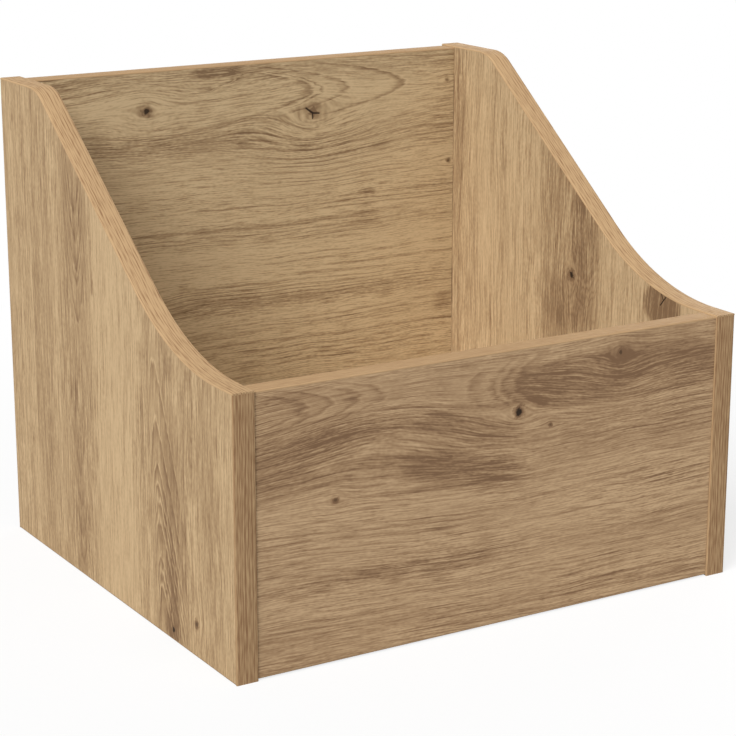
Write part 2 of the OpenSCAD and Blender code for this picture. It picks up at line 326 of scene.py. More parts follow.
def build_knot(net, along, across, knot_along, knot_across, core, push, halo):
    """Grain lines part round a knot: the distance across is scaled by d2 / (d2 + push2), where d2 is
    the squared distance from the knot. The middle is a ragged hole, with a rim and a soft halo."""
    away_along = along - knot_along
    away_across = across - knot_across
    stretched = away_along * away_along * 0.4 + away_across * away_across
    parted = knot_across + away_across * stretched / (stretched + push * push)
    ragged = net.noise(along * 0.4, across * 0.4, knot_along, detail=1.0)
    lumpy = net.noise(along * 0.12, across * 0.12, knot_across, detail=1.0)
    distance = net.math("SQRT", away_along * away_along * 0.7 + away_across * away_across)
    near = distance * (1.0 + ragged * 0.35)
    far = distance * (1.0 + lumpy * 0.3 + ragged * 0.15)
    hole = net.fade(near, core * 0.6, core * 1.2, 1.0, 0.0)
    rim = net.fade(near, core, core * 2.0 + 0.5, 1.0, 0.0)
    glow = net.fade(far, core, core + halo, 1.0, 0.0)
    return parted, hole, rim, glow


def build_arches(net, along, across, axis, slant, low_slope, high_slope, low_curve, high_curve, low_reach,
                 high_reach):
    """Nested arches of growth rings: level = along + slope * |away| + curve * away squared, with its
    own slope and curve on each side of the axis. |away| is rounded at the tip, as the root of away
    squared + blunt. The mask ends at both reaches."""
    away = across - axis - along * slant
    high = net.fade(away, -0.5, 0.5)
    slope = low_slope + (high_slope - low_slope) * high
    curve = low_curve + (high_curve - low_curve) * high
    blunt = 14.0
    rounded = net.math("SQRT", away * away + blunt) - math.sqrt(blunt)
    shake = net.noise(along * 0.09, across * 0.28, axis, detail=2.0)
    level = along + slope * rounded + curve * away * away + shake * 3.4
    frayed = away + net.noise(along * 0.05, across * 0.1, axis + 5.0) * 4.0
    mask = net.fade(frayed, low_reach * -1.4, low_reach * -0.5)
    mask = mask * net.fade(frayed, high_reach * 0.5, high_reach * 1.4, 1.0, 0.0)
    broken = net.noise(along * 0.07, across * 0.16, axis + 9.0, detail=1.0)
    return level, mask * net.fade(broken, -0.8, 0.1, 0.35, 1.0)


def build_patch(net, along, across, grain, patch_along, patch_across, length, width, slant, edge):
    """A soft slanted patch between an oval and an oblong: 1 inside and 0 outside. Its rim frays along
    the grain."""
    off = along - patch_along
    off_across = net.math("ABSOLUTE", (across - patch_across - off * slant) / width)
    off = net.math("ABSOLUTE", off / length)
    ragged = net.noise(along / 22, grain / 3.4, patch_across, detail=2.0)
    reach = net.math("POWER", net.math("POWER", off, 2.6) + net.math("POWER", off_across, 2.6), 1 / 2.6)
    return (net.fade(reach + ragged * (0.08 + edge * 0.3), 1.0 + edge, 1.0 - edge, 0.0, 1.0),)


def build_crack(net, along, across, from_along, from_across, to_along, to_across, width):
    """A dark crack: 1 within half a width of the line between two points, thinner at its end"""
    run = to_along - from_along
    rise = to_across - from_across
    off = along - from_along
    off_across = across - from_across
    share = net.clamp((off * run + off_across * rise) / (run * run + rise * rise))
    near = off - run * share
    near_across = off_across - rise * share
    distance = net.math("SQRT", near * near + near_across * near_across)
    return (net.fade(distance, width * 0.7, width * (0.35 - share * 0.2), 0.0, 1.0),)


def build_fibres(net, along, across, length, width, seed):
    """Streaks of four widths that follow the grain, thin dark strokes, long growth lines and short
    open pores. Each noise is divided by its length and its width in millimetres. Length stretches the
    dashes, strokes and lines, and width is that of the finest."""
    run = along / length
    fine = net.noise(along / 17, across / width, seed + 11.0) * 0.9
    fine = fine + net.noise(along / 3.2, across / width, seed + 13.0) * 0.42
    dashes = net.noise(run / 30, across / 1.9, seed + 5.0)
    bands = net.noise(along / 80, across / 4.2, seed)
    broad = net.noise(along / 300, across / 10, seed + 2.0)
    crest = net.math("ABSOLUTE", net.noise(run / 70, across / 2.4, seed + 29.0))
    worn = net.noise(run / 32, across / 3.6, seed + 41.0)
    strokes = net.fade(crest, 0.0, 0.3, 1.0, 0.0) * net.fade(worn, -0.5, 0.7) - 0.14
    turns = across / 4.6 + net.noise(run / 180, across / 14, seed + 17.0) * 0.8
    faint = net.noise(run / 60, across / 15, seed + 23.0)
    lines = net.fade(net.math("SINE", turns * math.tau), 0.2, 1.0) * net.fade(faint, -0.6, 0.6) - 0.14
    pores = net.fade(net.noise(along / 8, across / 0.8, seed + 19.0), 0.4, 0.9)
    return fine, dashes, bands, broad, strokes, lines, pores


def build_oak(net, tone, hole, light, middle, dark, hole_colour):
    """Oak colours from light at tone 0 through middle at 0.5 to dark at 1, and the holes of knots"""
    colour = net.blend(net.clamp(tone * 2.0), light, middle)
    colour = net.blend(net.clamp(tone * 2.0 - 1.0), colour, dark)
    return (net.blend(net.clamp(hole), colour, hole_colour),)


def build_speckle(net, along, across, depth):
    """Chips of three sizes, as on sawn chipboard"""
    place = net.node("ShaderNodeCombineXYZ", {"X": along, "Y": across, "Z": depth})
    chips = net.node(
        "ShaderNodeTexVoronoi", {"Vector": place.outputs[0], "Scale": 0.55, "Randomness": 1.0})
    chip = Field(net, net.node("ShaderNodeSeparateColor", {0: chips.outputs["Color"]}).outputs[0])
    coarse = net.node("ShaderNodeTexNoise", {"Vector": place.outputs[0], "Scale": 0.3, "Detail": 3.0})
    return chip, Field(net, coarse.outputs[0])


def make_groups():
    """Node groups that several finishes share"""
    make_group(
        "Grain Drift", {"Along": 0.0, "Across": 0.0, "Amount": 2.0, "Seed": 0.0},
        ["Across"], build_drift)
    make_group(
        "Grain Swell",
        {"Along": 0.0, "Across": 0.0, "Swell Along": 0.0, "Swell Across": 0.0, "Length": 60.0,
         "Width": 30.0, "Rise": 10.0},
        ["Across"], build_swell)
    make_group(
        "Grain Knot",
        {"Along": 0.0, "Across": 0.0, "Knot Along": 0.0, "Knot Across": 0.0, "Core": 2.0, "Push": 8.0,
         "Halo": 5.0},
        ["Across", "Hole", "Rim", "Halo"], build_knot)
    make_group(
        "Grain Arches",
        {"Along": 0.0, "Across": 0.0, "Axis": 0.0, "Slant": 0.0, "Low Slope": 1.0, "High Slope": 1.0,
         "Low Curve": 0.1, "High Curve": 0.1, "Low Reach": 20.0, "High Reach": 20.0},
        ["Level", "Mask"], build_arches)
    make_group(
        "Grain Patch",
        {"Along": 0.0, "Across": 0.0, "Grain": 0.0, "Patch Along": 0.0, "Patch Across": 0.0, "Length": 30.0,
         "Width": 10.0, "Slant": 0.0, "Edge": 0.6},
        ["Mask"], build_patch)
    make_group(
        "Grain Crack",
        {"Along": 0.0, "Across": 0.0, "From Along": 0.0, "From Across": 0.0, "To Along": 5.0,
         "To Across": 0.0, "Width": 1.0},
        ["Mask"], build_crack)
    make_group(
        "Grain Fibres", {"Along": 0.0, "Across": 0.0, "Length": 1.0, "Width": 0.9, "Seed": 0.0},
        ["Fine", "Dashes", "Bands", "Broad", "Strokes", "Lines", "Pores"], build_fibres)
    white = (1.0, 1.0, 1.0, 1.0)
    make_group(
        "Oak Colours",
        {"Tone": 0.3, "Hole": 0.0, "Light Colour": white, "Middle Colour": white, "Dark Colour": white,
         "Hole Colour": white},
        ["Colour"], build_oak)
    make_group(
        "Chipboard Speckle", {"Along": 0.0, "Across": 0.0, "Depth": 0.0}, ["Chip", "Coarse"], build_speckle)


# What the print of one face holds. Places and sizes are millimetres along and across the grain, and
# tones run from 0, light, to 1, dark. Arches have an axis and its slant, the tips along it, whether the
# tips point up, slope and curve on the low and the high side, how far they reach to both sides, the
# strength of their light and dark lines, and the length over which a dark line fades. A grain has the
# stretch of its streaks, the width of the finest and the strength of each kind. Zones are tones at
# places across.
Swell = namedtuple("Swell", "along across length width rise")
Knot = namedtuple("Knot", "along across core push halo shade depth")
Arches = namedtuple("Arches", "axis slant tips rising low high reach light dark fade")
Patch = namedtuple("Patch", "along across length width tone slant edge", defaults=(0.0, 0.6))
Crack = namedtuple("Crack", "start end width")
Grain = namedtuple("Grain", "length width fine dashes bands broad strokes lines pores")
# A face's tint scales its three oak colours. On the inner faces of the right side and the back it is painted
# light that lifts them against the shade inside the box, and on the front outer face it is painted shade.
Print = namedtuple(
    "Print", "along across seed drift grain zones knots arches patches swells cracks tint",
    defaults=((), (), (1.0, 1.0, 1.0)))

CALM = Grain(1.8, 1.1, 0.40, 0.12, 0.14, 0.12, 0.44, 0.24, 0.20)
LIVELY = Grain(2.0, 0.8, 0.38, 0.08, 0.06, 0.06, 0.60, 0.46, 0.32)
STREAKED = Grain(2.4, 0.75, 0.54, 0.06, 0.03, 0.06, 0.50, 0.64, 0.36)

PRINTS = {
    "left_outer_print": Print(
        along=(0, 0, 1), across=(0, -1, 0), seed=1.0, drift=2.2, grain=CALM,
        zones=(
            (-168, 0.28), (-145, 0.32), (-129, 0.28), (-126, 0.18), (-122, 0.36), (-98, 0.34),
            (-92, 0.29), (-76, 0.33), (-64, 0.40), (-40, 0.39), (-30, 0.24), (-18, 0.14), (4, 0.10),
            (24, 0.15), (44, 0.29), (60, 0.33), (76, 0.40), (100, 0.35), (112, 0.30), (140, 0.35),
            (152, 0.22), (168, 0.25)),
        knots=(Knot(7, 83, 1.6, 8, 10, 0.38, 1.0), Knot(22, 115.5, 1.5, 4, 3, 0.3, 0.5)),
        arches=(
            Arches(69, -0.04, (178, 140, 112, 98, 88, 75, 52, 40, 30), True, (1.2, 0.40), (2.7, 0.01),
                   (13, 34), 0.36, 0.42, 14),
            Arches(-50, 0.0, (250, 232, 213, 203, 178), False, (0.3, 0.25), (0.3, 0.25), (20, 19),
                   0.12, 0.42, 9),
            Arches(-54, 0.0, (72, 48, 26, 8), False, (3.0, 0.05), (2.4, 0.1), (13, 9), 0.05, 0.26, 12)),
        patches=(
            Patch(88, 86, 50, 13, 0.24), Patch(22, 83, 24, 11, 0.30), Patch(105, 129, 80, 6, 0.14, -0.26),
            Patch(100, 143, 90, 4, 0.12, -0.24), Patch(130, 112, 60, 4, 0.12, -0.2),
            Patch(60, -112, 100, 12, 0.06), Patch(60, -48, 70, 18, 0.06), Patch(240, -48, 45, 13, 0.08),
            Patch(205, -25, 5, 2, 0.35), Patch(300, -149, 3, 1.2, 0.35))),
    "right_inner_print": Print(
        # The tint here is painted light: it lightens this inner face against the shade inside the box.
        along=(0, 0, 1), across=(0, -1, 0), seed=2.0, drift=2.0, grain=CALM, tint=(1.0, 1.035, 1.08),
        zones=(
            (-168, 0.48), (-150, 0.47), (-140, 0.43), (-126, 0.25), (-100, 0.18), (-86, 0.24), (-81, 0.38),
            (-77, 0.30), (-74, 0.12), (-66, 0.22), (-40, 0.22), (-22, 0.49), (0, 0.53), (30, 0.36),
            (40, 0.22), (88, 0.20), (128, 0.24), (138, 0.16), (168, 0.2)),
        knots=(Knot(178, 6, 2.1, 9, 5, 0.4, 1.0), Knot(60, -70, 2.0, 8, 6, 0.3, 1.0)),
        arches=(
            Arches(60, 0.0, (150, 128, 112, 98, 80, 60), True, (1.0, 0.12), (1.0, 0.12), (20, 20),
                   0.15, 0.2, 8),
            Arches(22, 0.0, (157, 163, 169, 175), False, (0.2, 0.06), (0.2, 0.06), (22, 18), 0.08, 0.26, 4)),
        patches=(
            Patch(216, 20, 34, 15, 0.34, 0.0, 0.25), Patch(158, 6, 20, 30, 0.3), Patch(196, 9, 7, 4, 0.3),
            Patch(176, 110, 14, 19, 0.76, 0.0, 0.18), Patch(240, -140, 60, 5, 0.15)),
        cracks=(Crack((177, 108), (184, 114), 0.9), Crack((181, 111), (186, 108), 0.7))),
    "front_outer_print": Print(
        # The tint here is painted shade: it darkens the front outer face a little against the light of the
        # front lamp.
        along=(1, 0, 0), across=(0, 0, 1), seed=3.0, drift=1.6, grain=LIVELY, tint=(0.955, 0.922, 0.948),
        zones=(
            (0, 0.40), (8, 0.34), (13, 0.42), (22, 0.30), (38, 0.28), (48, 0.40), (54, 0.36), (62, 0.24),
            (80, 0.34), (86, 0.27), (98, 0.26), (108, 0.34), (120, 0.36), (135, 0.38), (150, 0.36),
            (160, 0.34), (182, 0.34)),
        knots=(
            Knot(15.5, 140, 2.3, 7, 3, 0.3, 1.0), Knot(94.5, 168, 1.3, 6, 10, 0.3, 0.6),
            Knot(-118, 105, 1.0, 4, 2.5, 0.35, 0.4), Knot(40, 128, 0.7, 3, 2, 0.3, 0.3)),
        arches=(
            Arches(167, 0.0, (-83, -100, -120, -138), True, (0.3, 0.22), (0.3, 0.22), (16, 14),
                   0.12, 0.36, 5),
            Arches(159, 0.0, (-24, -7, 2, 12), False, (0.1, 0.06), (0.4, 0.04), (14, 17), 0.08, 0.30, 8)),
        patches=(
            Patch(102, 154, 88, 16.5, 0.43, -0.03, 0.28), Patch(100, 134.5, 70, 1.3, -0.16, -0.02, 0.5),
            Patch(128, 173, 44, 10, 0.12), Patch(-160, 133, 62, 15, 0.27, 0.08),
            Patch(-85, 146, 60, 7, 0.22, -0.02), Patch(-22, 134, 36, 8, 0.32, -0.25),
            Patch(-30, 110, 44, 11, 0.52, -0.2), Patch(-110, 119, 55, 4, 0.14),
            Patch(105, 116, 75, 14, 0.16), Patch(28, 158, 22, 9, 0.12), Patch(97, 160, 15, 13, 0.16),
            Patch(-154, 173, 20, 4, 0.26), Patch(-140, 162, 4, 1.5, 0.35), Patch(-108, 167, 4, 1.2, 0.35),
            Patch(-90, 52, 85, 5, 0.12), Patch(138, 79, 2.5, 0.7, 0.7), Patch(121, 144, 20, 4.5, -0.2),
            Patch(34, 145, 4, 3, 0.25)),
        swells=(Swell(-85, 150, 72, 28, 15), Swell(95, 148, 32, 16, -5), Swell(-190, 80, 150, 90, 12))),
    "back_inner_print": Print(
        # The tint here is painted light: it lightens this inner face against the shade inside the box.
        along=(1, 0, 0), across=(0, 0, 1), seed=4.0, drift=2.2, grain=STREAKED, tint=(1.0, 1.062, 1.11),
        # The zones low on this face are set lighter: painted light against the shade low inside the box.
        zones=(
            (0, 0.3), (60, 0.22), (100, 0.24), (123, 0.18), (126, 0.34), (130, 0.16), (138, 0.18),
            (146, 0.32), (153, 0.24), (160, 0.14), (172, 0.10), (185, 0.10), (195, 0.20), (205, 0.28),
            (212, 0.14), (228, 0.25), (234, 0.17), (250, 0.17), (262, 0.27), (273, 0.40), (282, 0.22),
            (300, 0.16), (312, 0.36), (318, 0.42), (325, 0.46)),
        knots=(
            Knot(-86, 296, 2.0, 9, 7, 0.35, 0.95), Knot(49, 285, 1.6, 13, 11, 0.5, 0.0),
            Knot(166, 300, 0.8, 3, 3, 0.35, 0.3), Knot(168, 238, 0.9, 3, 2.5, 0.35, 0.4),
            Knot(40, 60, 2.0, 9, 6, 0.3, 1.0)),
        arches=(
            Arches(301, 0.0, (50, 58, 80, 128), True, (1.0, 0.15), (0.5, 0.16), (17, 22), 0.14, 0.58, 8),
            Arches(316, 0.0, (-10, -14), True, (0.8, 0.2), (0.8, 0.2), (9, 5), 0.0, 0.50, 3)),
        patches=(
            Patch(-30, 320, 20, 4.0, 0.45, 0.0, 0.25), Patch(-45, 201, 55, 8, 0.03),
            Patch(-75, 272, 60, 8, 0.2), Patch(20, 145, 105, 5, 0.17), Patch(-25, 153, 45, 8, 0.16),
            Patch(100, 300, 26, 8, -0.08), Patch(-115, 302, 26, 7, -0.1),
            Patch(95, 222, 6, 2, 0.4), Patch(94, 200, 12, 4, 0.22), Patch(107, 255, 7, 3, 0.2),
            Patch(-60, 166, 4, 2, 0.3), Patch(165, 127, 8, 7, 0.3)),
        swells=(Swell(60, 262, 70, 30, -7), Swell(0, 282, 35, 14, 4)),
        cracks=(
            Crack((48.5, 284), (43, 288), 1.5), Crack((48.5, 284), (54, 283.5), 1.3),
            Crack((48.5, 284.5), (48.5, 280), 1.1))),
    "left_inner_print": Print(
        along=(0, 0, 1), across=(0, 1, 0), seed=5.0, drift=2.4, grain=CALM,
        zones=(
            (-168, 0.2), (-120, 0.34), (-90, 0.28), (-60, 0.16), (-30, 0.2), (0, 0.38), (24, 0.42),
            (46, 0.26), (90, 0.2), (120, 0.32), (168, 0.24)),
        knots=(Knot(120, 24, 2.1, 9, 6, 0.35, 1.0), Knot(240, 96, 1.5, 7, 5, 0.3, 0.6)),
        arches=(
            Arches(18, 0.03, (96, 80, 66, 50, 30), True, (1.2, 0.2), (1.8, 0.05), (16, 26), 0.18, 0.24, 12),
            Arches(96, 0.0, (286, 270, 258), False, (0.4, 0.3), (0.4, 0.3), (14, 14), 0.1, 0.22, 7)),
        patches=(Patch(110, 20, 60, 16, 0.18), Patch(220, -104, 70, 12, 0.1), Patch(240, 96, 26, 12, 0.14))),
    "right_outer_print": Print(
        along=(0, 0, 1), across=(0, 1, 0), seed=6.0, drift=2.2, grain=CALM,
        zones=(
            (-168, 0.24), (-130, 0.2), (-96, 0.38), (-60, 0.4), (-40, 0.2), (0, 0.16), (30, 0.3),
            (64, 0.36), (84, 0.4), (104, 0.26), (140, 0.2), (168, 0.3)),
        knots=(Knot(96, -72, 2.2, 9, 7, 0.35, 1.0), Knot(36, 70, 1.4, 6, 4, 0.3, 0.6)),
        arches=(
            Arches(76, -0.03, (244, 212, 186, 170, 150, 136, 118), True, (2.0, 0.03), (1.0, 0.3), (30, 12),
                   0.2, 0.24, 12),
            Arches(-78, 0.0, (160, 146, 128), False, (0.3, 0.3), (0.3, 0.4), (15, 15), 0.1, 0.22, 7)),
        patches=(Patch(150, 66, 60, 14, 0.18), Patch(90, -74, 40, 16, 0.18), Patch(60, 10, 60, 10, 0.08))),
    "front_inner_print": Print(
        along=(-1, 0, 0), across=(0, 0, 1), seed=7.0, drift=2.4, grain=LIVELY,
        zones=(
            (0, 0.22), (30, 0.3), (52, 0.38), (70, 0.24), (100, 0.18), (124, 0.34), (140, 0.4), (158, 0.26),
            (182, 0.2)),
        knots=(Knot(-60, 132, 1.9, 9, 6, 0.35, 1.0), Knot(96, 44, 1.3, 6, 4, 0.3, 0.6)),
        arches=(
            Arches(132, 0.0, (-10, 14, 32, 62), True, (0.5, 0.2), (0.6, 0.2), (16, 18), 0.08, 0.32, 5),),
        patches=(Patch(-70, 134, 70, 12, 0.2), Patch(90, 46, 80, 8, 0.15)),
        swells=(Swell(70, 100, 70, 30, 9),)),
    "back_rear_print": Print(
        along=(-1, 0, 0), across=(0, 0, 1), seed=8.0, drift=2.8, grain=LIVELY,
        zones=(
            (0, 0.3), (36, 0.22), (60, 0.38), (84, 0.42), (104, 0.24), (140, 0.18), (170, 0.28),
            (192, 0.4), (214, 0.3), (240, 0.18), (270, 0.24), (292, 0.38), (325, 0.26)),
        knots=(
            Knot(-92, 78, 2.3, 11, 8, 0.35, 1.0), Knot(64, 200, 2.0, 10, 6, 0.35, 0.8),
            Knot(-30, 268, 1.2, 5, 3, 0.3, 0.5)),
        arches=(
            Arches(206, 0.0, (92, 108, 134), True, (0.7, 0.16), (0.6, 0.14), (18, 20), 0.06, 0.34, 5),
            Arches(80, 0.0, (-66, -44, -28, 2), True, (0.6, 0.12), (0.8, 0.16), (18, 18), 0.1, 0.32, 6)),
        patches=(
            Patch(-80, 76, 90, 14, 0.2), Patch(40, 196, 80, 10, 0.22), Patch(-100, 296, 80, 7, 0.2),
            Patch(120, 130, 50, 8, 0.12)),
        swells=(Swell(-40, 150, 90, 40, 14),)),
    "bottom_print": Print(
        along=(1, 0, 0), across=(0, 1, 0), seed=9.0, drift=2.6, grain=LIVELY,
        zones=(
            (-152, 0.3), (-120, 0.2), (-84, 0.36), (-60, 0.4), (-34, 0.22), (10, 0.18), (44, 0.32),
            (66, 0.38), (96, 0.22), (150, 0.28)),
        knots=(Knot(70, -66, 2.1, 10, 7, 0.35, 1.0), Knot(-84, 58, 1.7, 8, 5, 0.35, 0.8)),
        arches=(
            Arches(-68, 0.0, (-20, 6, 26, 40), False, (0.6, 0.14), (0.6, 0.18), (18, 18), 0.08, 0.32, 6),),
        patches=(Patch(40, -68, 90, 12, 0.2), Patch(-70, 56, 80, 9, 0.16)),
        swells=(Swell(0, 0, 90, 40, 12),)),
}


def arch_ramp(net, level, tips, light, dark, fade):
    """Change of tone over nested arches: just past each tip a light line, just before it a dark one,
    which fades out over a length or at the latest by the next tip. Also gives a mask of the arches.
    Lines are narrower where tips have less room than usual between them."""
    dark_at, light_at, plain_at = -2.0, 1.8, 4.5
    room = 8.0
    plain = 0.5
    tips = sorted(tips)
    low = tips[0] - 4.0 - fade
    span = tips[-1] + 6.0 - low
    stops = [(low, plain)]
    for tip, before, after in zip(tips, [low] + tips, tips[1:] + [tips[-1] + room]):
        tight = min(1.0, (after - tip) / room, (tip - before) / room)
        if tip - before > fade + room:
            stops.append((tip + dark_at - fade, plain))
        stops += [
            (tip + dark_at * tight, plain + dark), (tip + light_at * tight, plain - light),
            (tip + plain_at * tight, plain)]
    scaled = [((place - low) / span, tone) for place, tone in stops]
    change = net.ramp((level - low) / span, scaled) - plain
    inside = net.fade(level, low, low + 6.0) * net.fade(level, low + span, low + span + 15.0, 1.0, 0.0)
    return change, inside


def millimetres_along(net, axis):
    """Object coordinates in millimetres along one direction"""
    place = net.node("ShaderNodeTexCoord").outputs["Object"]
    scaled = [part / MM for part in axis]
    measured = net.node("ShaderNodeVectorMath", {0: place, 1: scaled}, operation="DOT_PRODUCT")
    return Field(net, measured.outputs["Value"])


def new_material(name):
    """A new material, with the net of its nodes and its shader"""
    material = bpy.data.materials.new(name)
    material.use_nodes = True
    return material, Net(material.node_tree), material.node_tree.nodes["Principled BSDF"]


def plug_surface(net, shader, colour, roughness, height, depth, strength):
    """Plugs a colour, a roughness and a relief into a shader. depth is the relief's depth in metres."""
    bump = net.node("ShaderNodeBump", {"Height": height, "Distance": depth, "Strength": strength})
    net.plug(colour, shader.inputs["Base Color"])
    net.plug(roughness, shader.inputs["Roughness"])
    net.plug(bump.outputs[0], shader.inputs["Normal"])


def laminate(name, design, finishes):
    """Printed oak laminate on one face, from the features of its print"""
    material, net, shader = new_material(name)
    along = millimetres_along(net, design.along)
    flat = millimetres_along(net, design.across)
    across = net.use(
        "Grain Drift", along=along, across=flat, amount=design.drift, seed=design.seed)["Across"]
    for swell in design.swells:
        across = net.use(
            "Grain Swell", along=along, across=across, swell_along=swell.along, swell_across=swell.across,
            length=swell.length, width=swell.width, rise=swell.rise)["Across"]
    hole = 0.0
    knot_tone = 0.0
    for knot in design.knots:
        parts = net.use(
            "Grain Knot", along=along, across=flat, knot_along=knot.along, knot_across=knot.across,
            core=knot.core, push=knot.push, halo=knot.halo)
        across = across + parts["Across"] - flat
        hole = net.math("MAXIMUM", hole, parts["Hole"] * knot.depth)
        knot_tone = knot_tone + parts["Halo"] * knot.shade + parts["Rim"] * (knot.shade * 1.5)
    for crack in design.cracks:
        split = net.use(
            "Grain Crack", along=along, across=flat, from_along=crack.start[0], from_across=crack.start[1],
            to_along=crack.end[0], to_across=crack.end[1], width=crack.width)
        hole = net.math("MAXIMUM", hole, split["Mask"])

    first = design.zones[0][0]
    width = design.zones[-1][0] - first
    zones = [((edge - first) / width, tone) for edge, tone in design.zones]
    frayed = across + net.noise(along / 90, across / 5, design.seed + 31.0, detail=2.0) * 4.0
    tone = net.ramp((frayed - first) / width, zones)
    for patch in design.patches:
        mask = net.use(
            "Grain Patch", along=along, across=flat, grain=across, patch_along=patch.along,
            patch_across=patch.across, length=patch.length, width=patch.width, slant=patch.slant,
            edge=patch.edge)["Mask"]
        tone = tone + mask * patch.tone

    calm = 1.0
    for arches in design.arches:
        turn = 1.0 if arches.rising else -1.0
        group = net.use(
            "Grain Arches", along=along * turn, across=flat, axis=arches.axis, slant=arches.slant * turn,
            low_slope=arches.low[0], low_curve=arches.low[1], high_slope=arches.high[0],
            high_curve=arches.high[1], low_reach=arches.reach[0], high_reach=arches.reach[1])
        tips = [tip * turn for tip in arches.tips]
        change, inside = arch_ramp(net, group["Level"], tips, arches.light, arches.dark, arches.fade)
        tone = tone + change * group["Mask"]
        calm = calm * (1.0 - inside * group["Mask"] * 0.4)
    grain = design.grain
    fibres = net.use(
        "Grain Fibres", along=along, across=across, length=grain.length, width=grain.width,
        seed=design.seed)
    streaks = fibres["Fine"] * grain.fine + fibres["Dashes"] * grain.dashes + fibres["Bands"] * grain.bands
    streaks = streaks + fibres["Broad"] * grain.broad + fibres["Strokes"] * grain.strokes
    streaks = streaks + fibres["Lines"] * grain.lines
    # Streaks are stronger in dark wood, and calmer inside arches
    uneven = net.noise(along / 80, across / 30, design.seed + 37.0)
    strength = net.clamp(0.6 + uneven * 0.15) * (0.8 + tone * 0.7) * calm * finishes.contrast
    tone = tone + (streaks + fibres["Pores"] * grain.pores) * strength
    tone = tone + knot_tone
    # The oak colours are scaled by the face's tint, which is painted light or painted shade on some faces.
    colour = net.use(
        "Oak Colours", tone=tone, hole=hole, hole_colour=finishes.hole,
        **{f"{shade}_colour": [a * b for a, b in zip(getattr(finishes, shade), design.tint)]
           for shade in ("light", "middle", "dark")})["Colour"]
    height = fibres["Pores"] * -0.6 - fibres["Dashes"] * 0.25 - hole * 2.0
    roughness = 0.54 + tone * 0.1 + fibres["Pores"] * 0.06
    plug_surface(net, shader, colour, roughness, height, 0.00004, 0.6)
    shader.inputs["Specular IOR Level"].default_value = 0.22
    return material


def edge_band(name, finishes, ground, strength):
    """Edge band with thin lines along its length. The lines stop on the rounded arrises, so that these show
    the plain lighter colour as a painted highlight. ground is the share of the darker colour between the
    lines, and strength that of the lines. UV holds metres along and across."""
    material, net, shader = new_material(name)
    place = net.node("ShaderNodeSeparateXYZ", {0: net.node("ShaderNodeTexCoord").outputs["UV"]})
    along = Field(net, place.outputs["X"]) / MM
    across = Field(net, place.outputs["Y"]) / MM
    wander = net.noise(along / 120, across / 5, 1.0)
    crest = net.math("SINE", (across / 2.0 + wander * 0.5) * math.tau)
    worn = net.noise(along / 30, across / 2.0, 4.0)
    fine = net.noise(along / 9, across / 0.8, 2.0)
    patches = net.noise(along / 45, across / 9, 3.0)
    lines = net.fade(crest, -0.1, 1.0) * net.fade(worn, -1.0, 0.5, 0.3, 1.0)
    # The lines fade out on the rounded arrises, which leaves them lighter: a painted highlight.
    from_middle = net.math("ABSOLUTE", across - 0.5 * rim_length() / MM)
    flat = net.fade(from_middle, 7.0, 7.6, 1.0, 0.0)
    shade = (lines * 0.70 + fine * 0.42 + patches * 0.14) * flat * strength + ground
    colour = net.blend(net.clamp(shade), finishes.band, finishes.band_line)
    plug_surface(net, shader, colour, 0.58 + shade * 0.08, shade * -1.0, 0.00003, 0.5)
    shader.inputs["Specular IOR Level"].default_value = 0.03
    return material


def object_millimetres(net):
    """Object coordinates in millimetres, as three fields"""
    place = net.node("ShaderNodeSeparateXYZ", {0: net.node("ShaderNodeTexCoord").outputs["Object"]})
    return [Field(net, place.outputs[axis]) / MM for axis in "XYZ"]


def chipboard(name, finishes):
    """Raw chipboard, in the bores and on the sawn edges"""
    material, net, shader = new_material(name)
    x, y, z = object_millimetres(net)
    speckle = net.use("Chipboard Speckle", along=x, across=y, depth=z)
    shade = speckle["Chip"] * 0.7 + speckle["Coarse"] * 0.5
    colour = net.blend(net.clamp(shade), finishes.chip, finishes.chip_dark)
    plug_surface(net, shader, colour, 0.85 - speckle["Chip"] * 0.1, shade, 0.0003, 0.7)
    return material


def metal(name, colour, roughness, grain, relief):
    """Cast or plated metal with a fine uneven skin: grain is bumps per millimetre, relief their depth"""
    material, net, shader = new_material(name)
    place = net.node("ShaderNodeTexCoord").outputs["Object"]
    skin = net.node(
        "ShaderNodeTexNoise", {"Vector": place, "Scale": grain / MM, "Detail": 3.0, "Roughness": 0.6})
    stain = net.node("ShaderNodeTexNoise", {"Vector": place, "Scale": 0.15 / MM, "Detail": 2.0})
    fleck = Field(net, skin.outputs[0])
    dull = net.clamp(Field(net, stain.outputs[0]) * 1.6 - 0.3)
    tarnished = tuple(0.72 * part for part in colour)
    shown = net.blend(dull, colour, tarnished)
    plug_surface(net, shader, shown, roughness + fleck * 0.12 + dull * 0.1, fleck, relief, 0.6)
    shader.inputs["Metallic"].default_value = 1.0
    return material


def beech(name, finishes):
    """Raw beech with short dark flecks along X"""
    material, net, shader = new_material(name)
    x, y, z = object_millimetres(net)
    fibres = net.use("Grain Fibres", along=x + y, across=y + z * 1.7, seed=12.0)
    shade = 0.3 + fibres["Dashes"] * 0.18 + fibres["Pores"] * 0.4
    flecked = tuple(0.6 * part for part in finishes.beech)
    colour = net.blend(net.clamp(shade), finishes.beech, flecked)
    plug_surface(net, shader, colour, 0.62 + fibres["Fine"] * 0.05, shade * -1.0, 0.00008, 0.6)
    return material


